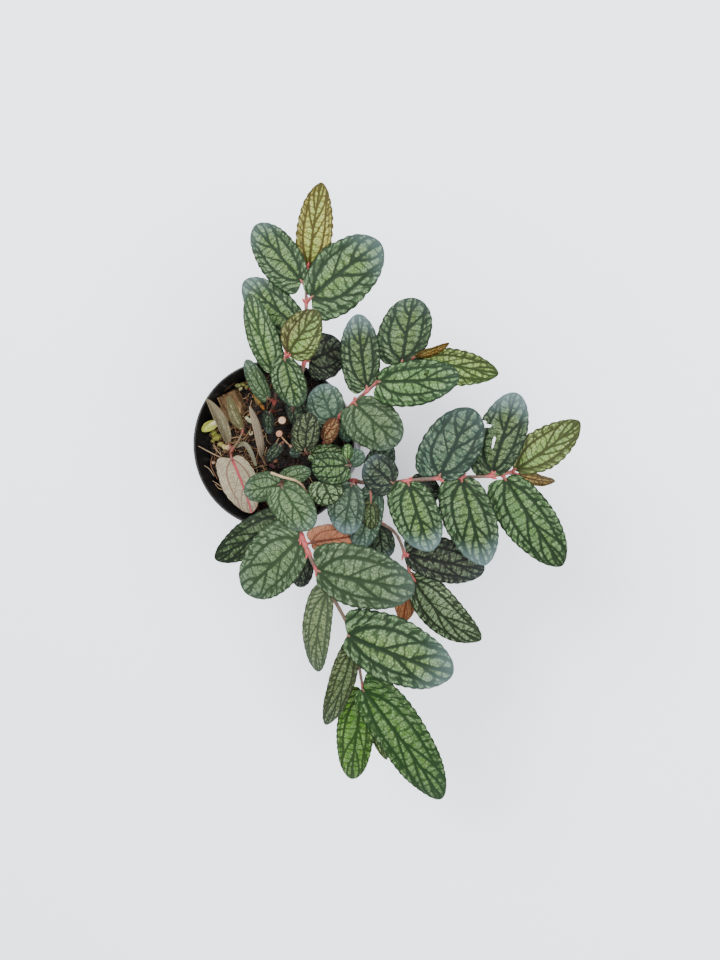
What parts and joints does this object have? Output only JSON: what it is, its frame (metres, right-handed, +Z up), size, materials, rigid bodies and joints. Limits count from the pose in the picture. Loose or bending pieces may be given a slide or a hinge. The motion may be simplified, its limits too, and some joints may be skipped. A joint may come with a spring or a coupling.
{
  "type": "potted trailing watermelon begonia",
  "caption": "Trailing watermelon begonia with dark-veined oval leaves on stems that arch out over the rim of a small round black nursery pot.",
  "frame": {"origin": "middle of the underside of the pot, on the surface that it stands on", "axes": "+Z up along the pot's axis, +X the side on which most of the plant hangs out, +Y along the line of the two longest stems"},
  "size_m": [0.2034, 0.327, 0.1195],
  "materials": {
    "black_plastic": "satin",
    "peat_soil": "crumbly",
    "green_leaf": "dark green veins on pale green",
    "withered_leaf": "dry",
    "cut_stem": "dry",
    "bud_green": "fresh"
  },
  "bodies": {
    "root": {"pot": "black_plastic", "soil": "peat_soil", "spray_1": "green_leaf", "spray_2": "green_leaf", "spray_3": "green_leaf", "spray_4": "green_leaf", "spray_5": "green_leaf", "spray_6": "green_leaf", "crown_shoot_1": "green_leaf", "crown_shoot_2": "green_leaf", "crown_shoot_3": "green_leaf", "crown_shoot_4": "green_leaf", "crown_shoot_5": "green_leaf", "old_shoot": "withered_leaf", "withered_leaf": "withered_leaf", "dry_twig": "cut_stem", "cut_stub_1": "cut_stem", "cut_stub_2": "cut_stem", "pale_bud": "bud_green"}
  },
  "joints": []
}
